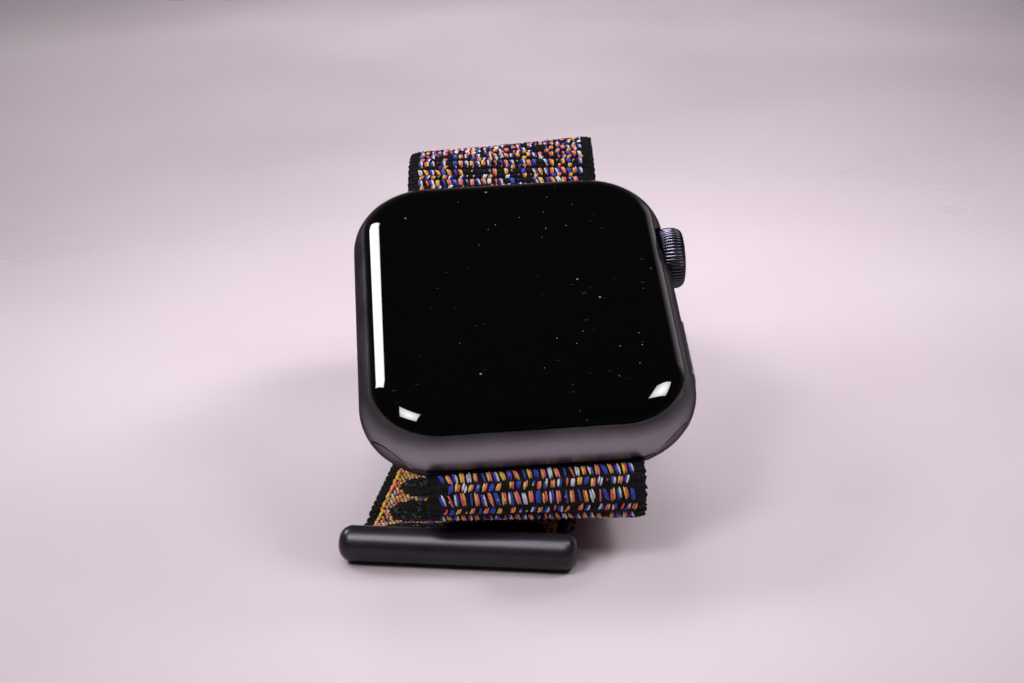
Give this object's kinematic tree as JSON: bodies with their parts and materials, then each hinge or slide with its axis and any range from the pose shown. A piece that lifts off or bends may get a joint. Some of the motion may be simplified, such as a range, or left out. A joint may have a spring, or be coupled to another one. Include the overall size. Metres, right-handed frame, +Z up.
{
  "type": "smartwatch",
  "caption": "Square-cornered smartwatch with black glass front, turning crown and a two-piece woven hook-and-loop band, leaning on its folded strap.",
  "frame": {"origin": "on the table, on the flat underside of the long strap, straight below the middle of the case", "axes": "+X to three o'clock, +Y level from six to twelve o'clock, +Z up; the case leans back 23 degrees about X"},
  "size_m": [0.043, 0.072, 0.0328],
  "materials": {
    "case_metal": "satin anodised dark grey",
    "front_glass": "polished black glass",
    "seal": "matt black",
    "display": "black, off",
    "steel": "bright",
    "crystal": "polished dark crystal",
    "board": "solder resist",
    "copper": "copper",
    "ferrite": "matt dark grey",
    "lens": "clear green",
    "battery_wrap": "satin film",
    "plastic": "satin black",
    "brass": "turned",
    "band": "woven, multicolour on black",
    "bar": "satin-gloss black",
    "hook": "hook tape"
  },
  "bodies": {
    "case": {"case_body": "case_metal", "display_glass": "front_glass", "display_gasket": "seal", "display_panel": "display", "display_bracket": "steel", "back_crystal": "crystal", "back_gasket": "seal", "green_led_1": "lens", "green_led_2": "lens", "photodiode_1": "ferrite", "photodiode_2": "ferrite", "sensor_board": "board", "charging_coil": "copper", "coil_shield": "ferrite", "main_board": "board", "board_screw_1": "steel", "board_screw_2": "steel", "board_screw_3": "steel", "board_screw_4": "steel", "battery": "battery_wrap", "haptic_motor": "steel", "speaker": "plastic", "speaker_mesh": "steel", "microphone": "steel", "antenna_frame": "copper", "display_flex": "seal", "crown_bush": "brass", "crown_seal": "seal", "crown_switch": "plastic", "crown_encoder": "plastic", "button_switch": "plastic", "button_bracket": "steel"},
    "crown_slider": {"crown_stem": "steel"},
    "crown": {"crown_knob": "case_metal", "crown_cap": "plastic"},
    "side_button": {"side_button": "case_metal", "button_plunger": "steel"},
    "release_12": {"release_button_12": "case_metal"},
    "release_6": {"release_button_6": "case_metal"},
    "detent_12": {"detent_12": "steel"},
    "detent_6": {"detent_6": "steel"},
    "long_strap": {"lug_12": "plastic", "long_strap": "band", "end_bar": "bar"},
    "short_strap": {"lug_6": "plastic", "short_strap": "band", "hook_patch": "hook"}
  },
  "joints": [
    {"name": "crown_press", "type": "slide", "parent": "case", "child": "crown_slider", "axis": [-1, 0, 0], "range_m": [0, 0.0003], "stiffness_N_per_m": 2000, "springref_m": -0.0003},
    {"name": "crown_spin", "type": "hinge", "parent": "crown_slider", "child": "crown", "pos_m": [0.01935, 0.00828, 0.02452], "axis": [1, 0, 0], "continuous": true},
    {"name": "side_button_press", "type": "slide", "parent": "case", "child": "side_button", "axis": [-1, 0, 0], "range_m": [0, 0.0003], "stiffness_N_per_m": 2000, "springref_m": -0.0003},
    {"name": "release_press_12", "type": "slide", "parent": "case", "child": "release_12", "axis": [0, -0.3907, 0.9205], "range_m": [0, 0.00035], "stiffness_N_per_m": 1200, "springref_m": -0.00035},
    {"name": "release_press_6", "type": "slide", "parent": "case", "child": "release_6", "axis": [0, -0.3907, 0.9205], "range_m": [0, 0.00035], "stiffness_N_per_m": 1200, "springref_m": -0.00035},
    {"name": "long_strap_slide", "type": "slide", "parent": "case", "child": "long_strap", "axis": [-1, 0, 0], "range_m": [0, 0.034]},
    {"name": "short_strap_slide", "type": "slide", "parent": "case", "child": "short_strap", "axis": [1, 0, 0], "range_m": [0, 0.034]},
    {"name": "detent_lift_12", "type": "slide", "parent": "long_strap", "child": "detent_12", "axis": [0, -0.3907, 0.9205], "range_m": [0, 0.00035], "stiffness_N_per_m": 600, "springref_m": -0.00035},
    {"name": "detent_lift_6", "type": "slide", "parent": "short_strap", "child": "detent_6", "axis": [0, -0.3907, 0.9205], "range_m": [0, 0.00035], "stiffness_N_per_m": 600, "springref_m": -0.00035}
  ],
  "couplings": [
    {"joint": "detent_lift_12", "follows": "release_press_12", "ratio": 1},
    {"joint": "detent_lift_6", "follows": "release_press_6", "ratio": 1}
  ]
}
